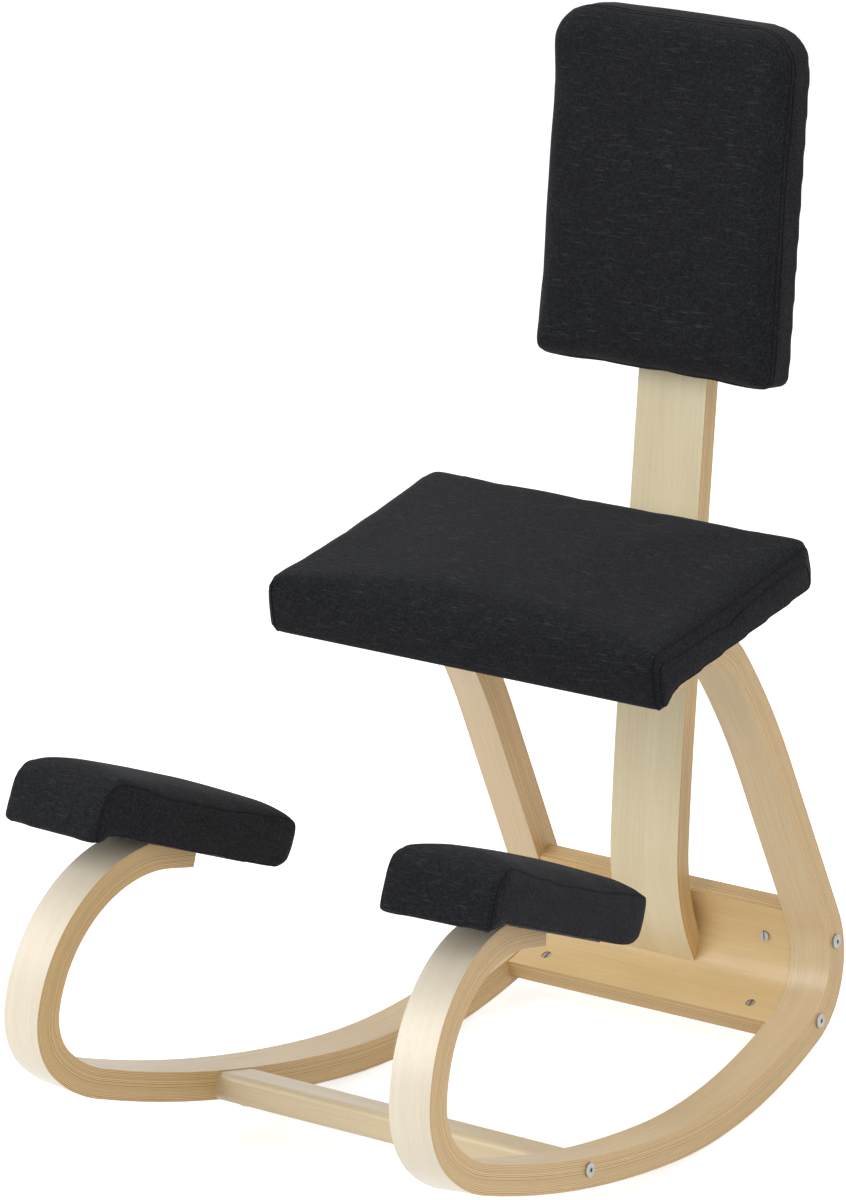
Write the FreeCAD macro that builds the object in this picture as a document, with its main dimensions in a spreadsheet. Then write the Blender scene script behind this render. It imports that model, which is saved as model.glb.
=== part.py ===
import FreeCAD, Part
import math
import os
from FreeCAD import Placement, Rotation, Vector

# Kneeling chair that rocks on two bent plywood runners. Millimetres and degrees, +Z up.
# The knee pads point to -Y and the backrest stands at +Y. Left and right are as seen from
# the front, so +X is the right and the sitter's left.
# The pieces are laid out with the rocking part of the runners level, and the finished
# chair is then tipped to the pose in which it comes to rest on its own.

doc = FreeCAD.newDocument("KneelingChair")
sheet = doc.addObject("Spreadsheet::Sheet", "Sizes")

SIZES = (
    # Runners: a strip of bent plywood, cut to width
    ("runner_width", 43.0),
    ("runner_thickness", 29.5),
    ("runner_spread", 460.0),
    ("runner_toe", 4.5),
    ("runner_camber", 3.1),
    # Centre line of a runner, from the knee end down, along the floor and up to the seat
    ("knee_end_back", -128.8),
    ("knee_end_rise", 291.8),
    ("knee_run_slope", 11.9),
    ("knee_run", 32.1),
    ("brow_radius", 138.3),
    ("brow_turn", 93.4),
    ("nose_radius", 69.5),
    ("nose_turn", 54.6),
    ("heel_radius", 147.8),
    ("heel_turn", 24.6),
    ("glide_radius", 1403.6),
    ("glide_turn", 14.3),
    ("rocker_radius", 630.8),
    ("rocker_turn", 25.1),
    ("bend_radius", 72.1),
    ("bend_turn", 95.8),
    ("upright_run", 195.2),
    ("upright_radius", 688.0),
    ("upright_turn", 12.2),
    ("shoulder_radius", 73.6),
    ("seat_run", 82.0),
    # Planes that the boards lie on
    ("seat_tilt", 11.8),
    ("knee_slope", 21.0),
    ("knee_end_height", 13.5),
    # Crossbar between the runners, behind the knees
    ("crossbar_depth", 54.0),
    ("crossbar_height", 27.5),
    ("crossbar_rounding", 7.0),
    ("crossbar_along", 195.0),
    ("crossbar_bolt_ahead", 11.0),
    ("crossbar_bolt_up", 3.0),
    ("crossbar_dowel_behind", 15.0),
    ("dowel_radius", 4.0),
    ("dowel_length", 40.0),
    # Bent panel between the runners, in the rear bend
    ("panel_thickness", 19.0),
    ("panel_recess", 1.4),
    ("panel_below_bend", 17.0),
    ("panel_above_bend", 17.0),
    ("panel_bolt_depth", 11.0),
    ("panel_low_bolt", 9.0),
    ("panel_high_bolt", 97.0),
    # Bent post that carries the backrest
    ("post_width", 80.0),
    ("post_thickness", 20.0),
    ("post_gap", 5.0),
    ("post_edge_heading", 102.0),
    ("post_foot_radius", 213.0),
    ("post_foot_below", 20.0),
    ("post_foot_run", 25.0),
    ("post_foot_above", 14.8),
    ("post_sweep_radius", 2800.0),
    ("post_lean", 5.6),
    ("post_run", 530.5),
    # Seat
    ("seat_width", 464.0),
    ("seat_depth", 281.0),
    ("seat_ahead", 119.0),
    ("seat_front_height", 55.0),
    ("seat_middle_height", 60.0),
    ("seat_rear_height", 49.0),
    ("seat_nose_radius", 31.0),
    ("seat_rear_radius", 24.0),
    ("seat_board_setback", 26.0),
    ("seat_board_tail", 28.0),
    ("seat_side_height", 45.0),
    ("seat_crown_height", 63.0),
    ("seat_side_radius", 17.0),
    ("seat_crown_radius", 1400.0),
    ("seat_front_corner", 10.0),
    ("seat_rear_corner", 30.0),
    # Backrest
    ("back_width", 280.0),
    ("back_height", 351.0),
    ("back_overlap", 197.0),
    ("back_thickness", 50.0),
    ("back_top_radius", 42.0),
    ("back_low_radius", 10.0),
    ("back_edge_radius", 16.0),
    ("back_board_setback", 6.0),
    # Knee pads
    ("knee_width", 125.0),
    ("knee_length", 290.0),
    ("knee_ahead", 184.0),
    ("knee_outward", 6.0),
    ("knee_front_height", 58.0),
    ("knee_middle_height", 64.0),
    ("knee_rear_height", 55.0),
    ("knee_nose_radius", 44.0),
    ("knee_rear_radius", 26.0),
    ("knee_board_setback", 26.0),
    ("knee_side_height", 52.0),
    ("knee_crown_height", 64.0),
    ("knee_side_radius", 10.0),
    ("knee_crown_radius", 120.0),
    ("knee_front_corner", 10.0),
    ("knee_rear_corner", 14.0),
    # Cushions in general
    ("board_thickness", 12.0),
    ("board_side_gap", 2.0),
    ("cover_thickness", 1.2),
    ("cover_turn_under", 20.0),
    ("crown_radius", 1500.0),
    ("lip_depth", 12.0),
    ("lip_length", 11.0),
    ("lip_radius", 5.0),
    ("hem_radius", 7.0),
    ("soft_clearance", 0.3),
    # Bolts, nuts and washers
    ("bolt_radius", 3.0),
    ("bolt_head_radius", 7.2),
    ("bolt_head_height", 3.0),
    ("hex_key_width", 4.0),
    ("hex_key_depth", 2.2),
    ("bolt_clearance", 0.3),
    ("thread_clearance", 0.05),
    ("washer_radius", 9.0),
    ("washer_thickness", 1.5),
    ("counterbore_clearance", 0.5),
    ("barrel_nut_radius", 5.0),
    ("barrel_nut_length", 15.0),
    ("barrel_nut_slot", 1.4),
    ("barrel_nut_sunk", 0.3),
    ("crossbar_nut_inset", 26.0),
    ("panel_nut_inset", 31.0),
    ("bolt_past_nut", 8.0),
    ("tee_nut_radius", 4.0),
    ("tee_flange_radius", 9.5),
    ("tee_flange_thickness", 1.5),
    ("tee_nut_length", 9.0),
    ("bolt_tip_in_board", 11.0),
    ("seat_bolt_seat", 27.3),
    ("seat_bolt_first", 18.0),
    ("seat_bolt_pitch", 46.0),
    ("knee_bolt_seat", 13.7),
    ("knee_bolt_first", 17.0),
    ("knee_bolt_pitch", 34.0),
    ("back_bolt_span", 36.0),
    ("back_bolt_first", 50.0),
    ("back_bolt_pitch", 100.0),
    ("post_screw_span", 36.0),
    ("post_screw_bite", 18.0),
    ("post_screw_heading", 130.0),
    ("screw_head_sunk", 3.5),
    # Pose at rest
    ("rest_pitch", -4.15),
)
for row, (alias, value) in enumerate(SIZES, start=1):
    sheet.set("A%d" % row, alias)
    sheet.set("B%d" % row, str(value))
    sheet.setAlias("B%d" % row, alias)
doc.recompute()

UP = Vector(0, 0, 1)
ACROSS = Vector(1, 0, 0)
REACH = 2000.0
nodes = []


def size(alias):
    return float(sheet.get(alias))


# Shapes in the side view: points are (back, up), headings are degrees from straight back


def direction(heading):
    return math.cos(math.radians(heading)), math.sin(math.radians(heading))


def leftward(point, heading, distance):
    back, up = direction(heading)
    return point[0] - up * distance, point[1] + back * distance


def ahead(point, heading, distance):
    back, up = direction(heading)
    return point[0] + back * distance, point[1] + up * distance


def run_end(point, heading, run):
    """Point and heading after a straight run (length, 0) or an arc (radius, turn)."""
    length, turn = run
    if not turn:
        return ahead(point, heading, length), heading
    side = math.copysign(length, turn)
    centre = leftward(point, heading, side)
    return leftward(centre, heading + turn, -side), heading + turn


def strip_edges(start, heading, runs, thickness):
    """Closed outline of a strip of even thickness whose centre line follows the runs."""
    outline = []
    ends = [(start, heading)]
    for run in runs:
        ends.append(run_end(ends[-1][0], ends[-1][1], run))
    for side in (-thickness / 2, thickness / 2):
        for (point, before), (reached, after), (length, turn) in zip(ends, ends[1:], runs):
            first = leftward(point, before, side)
            last = leftward(reached, after, side)
            if turn:
                outline.append(arc_edge(first, before, last, length - side * math.copysign(1, turn), turn))
            else:
                outline.append(Part.LineSegment(flat(first), flat(last)))
    for point, facing in (ends[0], ends[-1]):
        first = leftward(point, facing, -thickness / 2)
        last = leftward(point, facing, thickness / 2)
        outline.append(Part.LineSegment(flat(first), flat(last)))
    return outline


def flat(point):
    return Vector(point[0], point[1], 0)


def arc_edge(first, heading, last, radius, turn):
    centre = leftward(first, heading, math.copysign(radius, turn))
    middle = leftward(centre, heading + turn / 2, -math.copysign(radius, turn))
    return Part.Arc(flat(first), flat(middle), flat(last))


# Ways of making a piece


def plane_of(body, role):
    for feature in body.Origin.OriginFeatures:
        if feature.Role == role:
            return feature


def padded_body(name, plane, outline, length, both_ways=False):
    """Body whose sketched outline is padded by an expression on the sheet."""
    body = doc.addObject("PartDesign::Body", name)
    sketch = body.newObject("Sketcher::SketchObject", name + "_outline")
    sketch.AttachmentSupport = [(plane_of(body, plane), "")]
    sketch.MapMode = "FlatFace"
    for edge in outline:
        sketch.addGeometry(edge, False)
    pad = body.newObject("PartDesign::Pad", name + "_pad")
    pad.Profile = sketch
    pad.setExpression("Length", length)
    pad.Midplane = both_ways
    return body


def round_edges(body, radius, wanted):
    """Fillet on those edges of the body that pass the test."""
    doc.recompute()
    last = body.Tip
    names = ["Edge%d" % number for number, edge in enumerate(last.Shape.Edges, start=1) if wanted(edge)]
    fillet = body.newObject("PartDesign::Fillet", body.Name + "_rounding")
    fillet.Base = (last, names)
    fillet.setExpression("Radius", radius)


def bound(kind, name, **sizes):
    """Part primitive whose sizes are expressions on the sheet."""
    solid = doc.addObject(kind, name)
    for prop, expression in sizes.items():
        solid.setExpression(prop, expression)
    return solid


def cut(name, base, *tools):
    """What is left of the base after the tools have been taken away."""
    for number, tool in enumerate(tools, start=1):
        last = number == len(tools)
        result = doc.addObject("Part::Cut", name if last else "%s_cut_%d" % (name, number))
        result.Base = base
        result.Tool = tool
        base = result
    return base


def shaped(name, shape):
    piece = doc.addObject("Part::Feature", name)
    piece.Shape = shape
    return piece


def copies(name, master, places):
    """One node that holds a separate copy of the master solid at each place."""
    solids = []
    for place in places:
        solid = master.copy()
        solid.Placement = place
        solids.append(solid)
    return shaped(name, Part.makeCompound(solids))


def node(piece, label):
    piece.Label = label
    nodes.append(piece)
    return piece


def standing(point, axis):
    """Placement that puts the origin at the point and +Z along the axis."""
    return Placement(point, Rotation(UP, axis))


# Runner frames. In a runner's own frame +Y and +Z are the side view and +X is across it.

RUNNERS = (("right", 1), ("left", -1))
INNER = size("runner_spread") / 2 - size("runner_width")
OUTER = size("runner_spread") / 2


def runner_frame(side):
    turned = Rotation(side * size("runner_toe"), -side * size("runner_camber"), 0)
    near = INNER if side > 0 else -OUTER
    return Placement(turned.multVec(ACROSS * near), turned)


def on_runner(side, across, point):
    """Place in the chair of a side-view point, at a distance out from the inner face."""
    turned = runner_frame(side).Rotation
    return turned.multVec(Vector(side * (INNER + across), point[0], point[1]))


def outward(side):
    return runner_frame(side).Rotation.multVec(ACROSS * side)


def side_view(across, point):
    """Side view in the chair's own frame of a point on the right runner."""
    place = on_runner(1, across, point)
    return place.y, place.z


RUN_NAMES = ("knee_run", "brow", "nose", "heel", "glide", "rocker", "bend",
             "upright_run", "upright", "shoulder", "seat_run")
KNEE_HEADING = 180 - size("knee_run_slope")
TURNED = sum(size(name + "_turn") for name in ("brow", "nose", "heel", "glide", "rocker", "bend", "upright"))
SHOULDER_TURN = 540 + size("seat_tilt") - KNEE_HEADING - TURNED


def runner_run(name):
    if name.endswith("run"):
        return size(name), 0
    if name == "shoulder":
        return size("shoulder_radius"), SHOULDER_TURN
    return size(name + "_radius"), size(name + "_turn")


RUNS = [runner_run(name) for name in RUN_NAMES]
RUN_STARTS = [((size("knee_end_back"), size("knee_end_rise")), KNEE_HEADING)]
for run in RUNS:
    RUN_STARTS.append(run_end(*RUN_STARTS[-1], run))


def station(name, distance, inward=0.0):
    """Point and heading at a distance into a named run, moved towards the inner curve."""
    number = RUN_NAMES.index(name)
    point, heading = RUN_STARTS[number]
    length, turn = RUNS[number]
    if distance:
        part = (length, math.degrees(distance / length)) if turn else (distance, 0)
        point, heading = run_end(point, heading, part)
    return leftward(point, heading, inward), heading


HALF = size("runner_thickness") / 2

# Planes of the seat board and the knee boards, each as a frame with +Z away from the runners

seat_corner, seat_heading = station("seat_run", 0.0, -HALF)
seat_back, seat_up = side_view(0.0, seat_corner)
SEAT = Placement(Vector(0, seat_back, seat_up), Rotation(0, 0, size("seat_tilt")))
FLUSH = Rotation(0, 0, -size("knee_slope"))


def knee_frame(side):
    """Frame of a knee board, at the runner's end, turned with the runner's toe."""
    end, heading = station("knee_run", 0.0, HALF - size("knee_end_height"))
    middle = on_runner(side, size("runner_width") / 2, end)
    yaw = Rotation(UP, side * size("runner_toe"))
    return Placement(middle, yaw.multiply(FLUSH))


def block(name, frame, low, high):
    """Box between two corners given in a frame."""
    box = Part.makeBox(high.x - low.x, high.y - low.y, high.z - low.z, low)
    box.Placement = frame.multiply(box.Placement)
    return shaped(name, box)


# Fastener shapes, each along +Z with its seat at the origin


def hex_socket(across, depth):
    corners = [Vector(across / math.sqrt(3), 0, 0)]
    turn = Rotation(UP, 60)
    for _ in range(6):
        corners.append(turn.multVec(corners[-1]))
    return Part.Face(Part.makePolygon(corners)).extrude(UP * depth)


def bolt_shape(length):
    """Flat-headed bolt: head above the origin, shank of the length below it."""
    head = Part.makeCylinder(size("bolt_head_radius"), size("bolt_head_height"))
    top_edge = [edge for edge in head.Edges if edge.CenterOfMass.z > size("bolt_head_height") / 2
                and edge.Closed]
    head = head.makeFillet(size("bolt_head_height") * 0.4, top_edge)
    shank = Part.makeCylinder(size("bolt_radius"), length, Vector(0, 0, -length))
    socket = hex_socket(size("hex_key_width"), size("hex_key_depth"))
    socket.translate(UP * (size("bolt_head_height") - size("hex_key_depth")))
    return head.fuse(shank).cut(socket)


def screw_shape(length, head_radius, point):
    """Countersunk screw: flat of the head at the origin, point at the end of the length."""
    head = Part.makeCone(size("bolt_radius"), head_radius, head_radius - size("bolt_radius"),
                         Vector(0, 0, size("bolt_radius") - head_radius))
    shank = Part.makeCylinder(size("bolt_radius"), length - point, Vector(0, 0, point - length))
    tip = Part.makeCone(1.0, size("bolt_radius"), point, Vector(0, 0, -length))
    socket = hex_socket(size("hex_key_width"), size("hex_key_depth"))
    socket.translate(UP * -size("hex_key_depth"))
    return head.fuse([shank, tip]).cut(socket)


def washer_shape():
    """Washer above the origin."""
    ring = Part.makeCylinder(size("washer_radius"), size("washer_thickness"))
    return ring.cut(Part.makeCylinder(BOLT_HOLE, size("washer_thickness")))


def barrel_nut_shape(bolt_depth):
    """Cross dowel with its slotted end at the origin and its body below it."""
    length = size("barrel_nut_length")
    radius = size("barrel_nut_radius")
    barrel = Part.makeCylinder(radius, length, Vector(0, 0, -length))
    thread = Part.makeCylinder(THREAD_HOLE, 2 * radius, Vector(-radius, 0, -bolt_depth), ACROSS)
    width = size("barrel_nut_slot")
    slot = Part.makeBox(width, 2 * radius, width, Vector(-width / 2, -radius, -width))
    return barrel.cut([thread, slot])


def tee_nut_shape():
    """Tee nut with its flange above the origin and its barrel below it."""
    flange = Part.makeCylinder(size("tee_flange_radius"), size("tee_flange_thickness"),
                               Vector(0, 0, -size("tee_flange_thickness")))
    length = size("tee_nut_length")
    barrel = Part.makeCylinder(size("tee_nut_radius"), length, Vector(0, 0, -length))
    return flange.fuse(barrel).cut(Part.makeCylinder(THREAD_HOLE, length, Vector(0, 0, -length)))


def drill(radius, below, above=0.0):
    """Round hole from below the origin to above it."""
    return Part.makeCylinder(radius, below + above, Vector(0, 0, -below))


BOLT_HOLE = size("bolt_radius") + size("bolt_clearance")
THREAD_HOLE = size("bolt_radius") + size("thread_clearance")
FLIP = Rotation(ACROSS, 180)


# Where the crossbar and the bolts lie

bar_middle, bar_heading = station("glide", size("crossbar_along"))
BAR = Placement(Vector(0, *side_view(0.0, bar_middle)), Rotation(0, 0, bar_heading - 360))
CROSSBAR_BOLT = leftward(ahead(bar_middle, bar_heading, -size("crossbar_bolt_ahead")), bar_heading,
                         size("crossbar_bolt_up"))
DOWEL = ahead(bar_middle, bar_heading, size("crossbar_dowel_behind"))
PANEL_BOLT_INWARD = HALF - size("panel_recess") - size("panel_bolt_depth")
PANEL_BOLTS = [station("bend", size(name), PANEL_BOLT_INWARD)[0]
               for name in ("panel_low_bolt", "panel_high_bolt")]
CROSSBAR_BOLT_LENGTH = size("runner_width") + size("crossbar_nut_inset") + size("bolt_past_nut")
PANEL_BOLT_LENGTH = size("runner_width") + size("panel_nut_inset") + size("bolt_past_nut")
SIDES = (1, -1)


def side_bolt_places(side, points):
    """Seats of bolt heads on the outer face of a runner."""
    return [standing(on_runner(side, size("runner_width"), point), outward(side)) for point in points]


def dowel_place(side):
    return standing(on_runner(side, -size("dowel_length") / 2, DOWEL), outward(side))


def moved(place, across, along, above):
    return place.multiply(Placement(Vector(across, along, above), Rotation()))


def seat_bolt_places(side):
    """Places on the seat board's plane, over the middle of the runner."""
    places = []
    for along in (size("seat_bolt_first"), size("seat_bolt_first") + size("seat_bolt_pitch")):
        reached, heading = station("seat_run", along, -HALF)
        over = SEAT.inverse().multVec(on_runner(side, size("runner_width") / 2, reached))
        places.append(moved(SEAT, over.x, over.y, 0))
    return places


def knee_bolt_places(side):
    first = size("knee_bolt_first")
    return [moved(knee_frame(side), 0, -along, 0) for along in (first, first + size("knee_bolt_pitch"))]


def underneath(places, depth):
    """Places at a depth below the board's plane, turned over so that +Z points down."""
    return [place.multiply(Placement(Vector(0, 0, -depth), FLIP)) for place in places]


SEAT_BOLTS = seat_bolt_places(1) + seat_bolt_places(-1)
DOWEL_HOLE = drill(size("dowel_radius") + size("thread_clearance"), 0.0, size("dowel_length"))
SIDE_HOLE = drill(BOLT_HOLE, size("runner_width"))
BOARD_HOLE = drill(BOLT_HOLE, 2 * size("runner_thickness"), size("runner_thickness"))
SPOT_FACE = drill(size("washer_radius") + size("counterbore_clearance"), 0.0, size("runner_thickness"))

# Runners: bent strips, planed flat under the seat and the knee pads, and drilled

for name, side in (("left_runner", -1), ("right_runner", 1)):
    strip = padded_body(name + "_strip", "YZ_Plane",
                        strip_edges(*RUN_STARTS[0], RUNS, size("runner_thickness")), "Sizes.runner_width")
    strip.Placement = runner_frame(side)
    spread = size("runner_spread")
    seat_plane = block(name + "_seat_plane", SEAT, Vector(-spread, -2 * size("seat_run"), 0),
                       Vector(spread, size("shoulder_radius"), size("runner_thickness")))
    knee_reach = size("knee_ahead")
    knee_plane = block(name + "_knee_plane", knee_frame(side), Vector(-knee_reach, -knee_reach, 0),
                       Vector(knee_reach, knee_reach, size("runner_thickness")))
    side_holes = copies(name + "_side_holes", SIDE_HOLE, side_bolt_places(side, PANEL_BOLTS + [CROSSBAR_BOLT]))
    dowel_hole = copies(name + "_dowel_hole", DOWEL_HOLE, [dowel_place(side)])
    seats = seat_bolt_places(side)
    knees = knee_bolt_places(side)
    board_holes = copies(name + "_board_holes", BOARD_HOLE, seats + knees)
    spot_faces = copies(name + "_spot_faces", SPOT_FACE,
                        underneath(seats, size("seat_bolt_seat")) + underneath(knees, size("knee_bolt_seat")))
    node(cut(name, strip, seat_plane, knee_plane, side_holes, dowel_hole, board_holes, spot_faces), name)


def side_blocks(name):
    """All that lies outside the inner faces of the two runners."""
    blocks = []
    for side in SIDES:
        edge = 0.0 if side > 0 else size("runner_width")
        low = Vector(min(edge, edge + side * REACH), -REACH / 2, -REACH / 2)
        high = Vector(max(edge, edge + side * REACH), REACH / 2, REACH / 2)
        blocks.append(block("%s_side_%d" % (name, len(blocks) + 1), runner_frame(side), low, high))
    return blocks


# Crossbar: a solid bar with rounded edges, bolted and dowelled between the runners

blank = bound("Part::Box", "crossbar_blank", Length="Sizes.runner_spread", Width="Sizes.crossbar_depth",
              Height="Sizes.crossbar_height")
blank.Placement = moved(BAR, -size("runner_spread") / 2, -size("crossbar_depth") / 2, -size("crossbar_height") / 2)
doc.recompute()
rounded_bar = doc.addObject("Part::Fillet", "crossbar_bar")
rounded_bar.Base = blank
rounding = size("crossbar_rounding")
rounded_bar.Edges = [(number, rounding, rounding) for number, edge in enumerate(blank.Shape.Edges, start=1)
                     if abs(edge.Length - size("runner_spread")) < 0.01]


def cross_dowel_place(crossing, sideways, inward, depth):
    """Slotted end of a cross dowel whose threaded hole is at the crossing, a depth below that end."""
    place = Placement(crossing, Rotation(sideways, Vector(), inward * -1, "XZY"))
    return place.multiply(Placement(Vector(0, 0, depth), Rotation()))


down = BAR.Rotation.multVec(UP * -1)
bar_nut_depth = size("crossbar_height") / 2 + size("crossbar_bolt_up") - size("barrel_nut_sunk")
bar_nuts = [cross_dowel_place(on_runner(side, -size("crossbar_nut_inset"), CROSSBAR_BOLT), outward(side),
                              down * -1, bar_nut_depth) for side in SIDES]
bar_bolts = [side_bolt_places(side, [CROSSBAR_BOLT])[0] for side in SIDES]
dowels = [dowel_place(side) for side in SIDES]
NUT_HOLE = drill(size("barrel_nut_radius") + size("thread_clearance"),
                 size("barrel_nut_length") + size("soft_clearance"), size("barrel_nut_length"))
bar_bolt_holes = copies("crossbar_bolt_holes", drill(BOLT_HOLE, CROSSBAR_BOLT_LENGTH + 1), bar_bolts)
node(cut("front_crossbar", rounded_bar, *side_blocks("crossbar"), bar_bolt_holes,
         copies("crossbar_nut_holes", NUT_HOLE, bar_nuts), copies("crossbar_dowel_holes", DOWEL_HOLE, dowels)),
     "front_crossbar")
node(copies("crossbar_bolts", bolt_shape(CROSSBAR_BOLT_LENGTH), bar_bolts), "crossbar_bolts")
node(copies("crossbar_barrel_nuts", barrel_nut_shape(bar_nut_depth), bar_nuts), "crossbar_barrel_nuts")
node(copies("crossbar_dowels", drill(size("dowel_radius"), 0.0, size("dowel_length")), dowels),
     "crossbar_dowels")

# Rear panel: bent with the runners' rear bend, its front face a little behind theirs

panel_inward = HALF - size("panel_recess") - size("panel_thickness") / 2
bend_entry, bend_heading = station("bend", 0.0, panel_inward)
bend_entry = side_view(0.0, bend_entry)
panel_radius = size("bend_radius") - panel_inward
panel_front_radius = panel_radius - size("panel_thickness") / 2
panel_start = ahead(bend_entry, bend_heading, -size("panel_below_bend"))
panel_runs = [(size("panel_below_bend"), 0), (panel_radius, size("bend_turn")), (size("panel_above_bend"), 0)]
bend_back, bend_up = leftward(bend_entry, bend_heading, panel_radius)
BEND = Vector(0, bend_back, bend_up)
panel_end = (panel_start, bend_heading)
for run in panel_runs:
    panel_end = run_end(*panel_end, run)
panel_edge = leftward(*panel_end, size("panel_thickness") / 2)

# Post: its foot is cut to the panel's hollow, and it sweeps up past the panel's top edge

edge_heading = size("post_edge_heading")
at_edge = leftward(panel_edge, edge_heading, size("post_gap") + size("post_thickness") / 2)
foot_top = run_end(at_edge, edge_heading + 180, (size("post_foot_radius"), size("post_foot_below")))
foot_end, foot_heading = run_end(*foot_top, (size("post_foot_run"), 0))
post_start = (foot_end, foot_heading - 180)
sweep_turn = edge_heading - size("post_foot_above") - (90 - size("post_lean"))
post_runs = [(size("post_foot_run"), 0), (size("post_foot_radius"), -size("post_foot_below") - size("post_foot_above")),
             (size("post_sweep_radius"), -sweep_turn), (size("post_run"), 0)]


def along_to_radius(point, heading, radius):
    """Distance from the point to where its heading meets a circle about the bend's centre."""
    back, up = direction(heading)
    from_centre = (point[0] - BEND.y, point[1] - BEND.z)
    towards = from_centre[0] * back + from_centre[1] * up
    inside = from_centre[0] ** 2 + from_centre[1] ** 2 - radius ** 2
    return -towards + math.sqrt(towards ** 2 - inside)


screw_heading = size("post_screw_heading") + 180
contact = ahead(*foot_top, along_to_radius(*foot_top, panel_front_radius))
panel_rear_radius = panel_front_radius + size("panel_thickness")
screw_depth = along_to_radius(contact, screw_heading, panel_rear_radius) - size("screw_head_sunk")
screw_back, screw_up = ahead(contact, screw_heading, screw_depth)
axis_back, axis_up = direction(screw_heading)
post_screws = [standing(Vector(side * size("post_screw_span") / 2, screw_back, screw_up),
                        Vector(0, axis_back, axis_up)) for side in SIDES]
POST_SCREW_LENGTH = screw_depth + size("post_screw_bite")
SCREW_HOLE = drill(THREAD_HOLE, POST_SCREW_LENGTH + 1, size("panel_thickness")).fuse(
    drill(size("bolt_head_radius"), 0.0, size("panel_thickness")))
sink = Part.makeCone(THREAD_HOLE, size("bolt_head_radius"), size("bolt_head_radius") - THREAD_HOLE,
                     Vector(0, 0, THREAD_HOLE - size("bolt_head_radius")))
SCREW_HOLE = SCREW_HOLE.fuse(sink)

panel_nut_depth = size("panel_bolt_depth") - size("barrel_nut_sunk")
panel_bolts = []
panel_nuts = []
for side in SIDES:
    panel_bolts += side_bolt_places(side, PANEL_BOLTS)
    for point in PANEL_BOLTS:
        crossing = on_runner(side, -size("panel_nut_inset"), point)
        spoke = Vector(0, BEND.y - crossing.y, BEND.z - crossing.z)
        panel_nuts.append(cross_dowel_place(crossing, outward(side), spoke.normalize() * -1, panel_nut_depth))

panel_strip = padded_body("rear_panel_strip", "YZ_Plane",
                          strip_edges(panel_start, bend_heading, panel_runs, size("panel_thickness")),
                          "Sizes.runner_spread", True)
node(cut("rear_panel", panel_strip, *side_blocks("panel"),
         copies("panel_bolt_holes", drill(BOLT_HOLE, PANEL_BOLT_LENGTH + 1), panel_bolts),
         copies("panel_nut_holes", NUT_HOLE, panel_nuts), copies("panel_screw_holes", SCREW_HOLE, post_screws)),
     "rear_panel")
node(copies("rear_panel_bolts", bolt_shape(PANEL_BOLT_LENGTH), panel_bolts), "rear_panel_bolts")
node(copies("rear_panel_barrel_nuts", barrel_nut_shape(panel_nut_depth), panel_nuts), "rear_panel_barrel_nuts")

# Backrest frame on the front of the post: +Y up along the post, +Z towards the sitter

post_end = post_start
for run in post_runs:
    post_end = run_end(*post_end, run)
back_low = leftward(ahead(*post_end, -size("back_overlap")), post_end[1], size("post_thickness") / 2)
BACK = Placement(Vector(0, *back_low), Rotation(0, 0, 90 - size("post_lean")))
back_rows = (size("back_bolt_first"), size("back_bolt_first") + size("back_bolt_pitch"))
BACK_BOLTS = [moved(BACK, side * size("back_bolt_span") / 2, row, 0) for side in SIDES for row in back_rows]

post_strip = padded_body("post_strip", "YZ_Plane", strip_edges(*post_start, post_runs, size("post_thickness")),
                         "Sizes.post_width", True)
beyond = Part.makeCylinder(2 * panel_rear_radius, REACH, BEND - ACROSS * REACH / 2, ACROSS)
beyond = beyond.cut(Part.makeCylinder(panel_front_radius - size("soft_clearance"), REACH,
                                      BEND - ACROSS * REACH / 2, ACROSS))
lower_half = Part.makeBox(REACH, REACH, REACH, BEND - Vector(REACH / 2, REACH / 2, REACH))
hollow = shaped("foot_hollow", beyond.common(lower_half))
POST_HOLE = drill(BOLT_HOLE, size("post_thickness") + 1, 1.0)
node(cut("backrest_post", post_strip, hollow, copies("post_screw_bores", SCREW_HOLE, post_screws),
         copies("post_bolt_holes", POST_HOLE, BACK_BOLTS)), "backrest_post")
screw = screw_shape(POST_SCREW_LENGTH, size("bolt_head_radius") - size("thread_clearance"), size("bolt_radius"))
node(copies("post_screws", screw, post_screws), "post_screws")


# Cushions: a plywood board and foam in a sewn cover that is turned under the board, and a
# dust cover that closes the opening. +Z of a cushion's frame points from the board to the foam.

def side_profile(length, start, heights, radii):
    """Side view of a cushion, from the corner of the lip that hangs over the board's front edge."""
    front, middle, rear = heights
    lip = size("lip_depth")
    lip_end = start + size("lip_length")
    return [((start, -lip), size("hem_radius")), ((lip_end, -lip), size("lip_radius")),
            ((lip_end + lip, 0), size("lip_radius")), ((start + length, 0), radii[1]),
            ((start + length, rear), radii[1]), ((start + length / 2, middle), size("crown_radius")),
            ((start, front), radii[0])]


def front_profile(width, heights, radii):
    """Front view of a cushion: upright sides under a crowned top."""
    half = width / 2
    side, middle = heights
    lip = size("lip_depth")
    return [((-half, -lip), size("hem_radius")), ((half, -lip), size("hem_radius")),
            ((half, side), radii[0]), ((0, middle), radii[1]), ((-half, side), radii[0])]


def plan(length, start, width, radii):
    """Plan of a cushion: a rectangle with rounded corners."""
    half = width / 2
    return [((-half, start), radii[0]), ((half, start), radii[0]),
            ((half, start + length), radii[1]), ((-half, start + length), radii[1])]


def turn_at(corners, number):
    """Heading before a corner and signed turn at it, in radians."""
    before, point, after = (corners[index % len(corners)][0] for index in (number - 1, number, number + 1))
    first = math.atan2(point[1] - before[1], point[0] - before[0])
    second = math.atan2(after[1] - point[1], after[0] - point[0])
    return first, (second - first + math.pi) % (2 * math.pi) - math.pi


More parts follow.
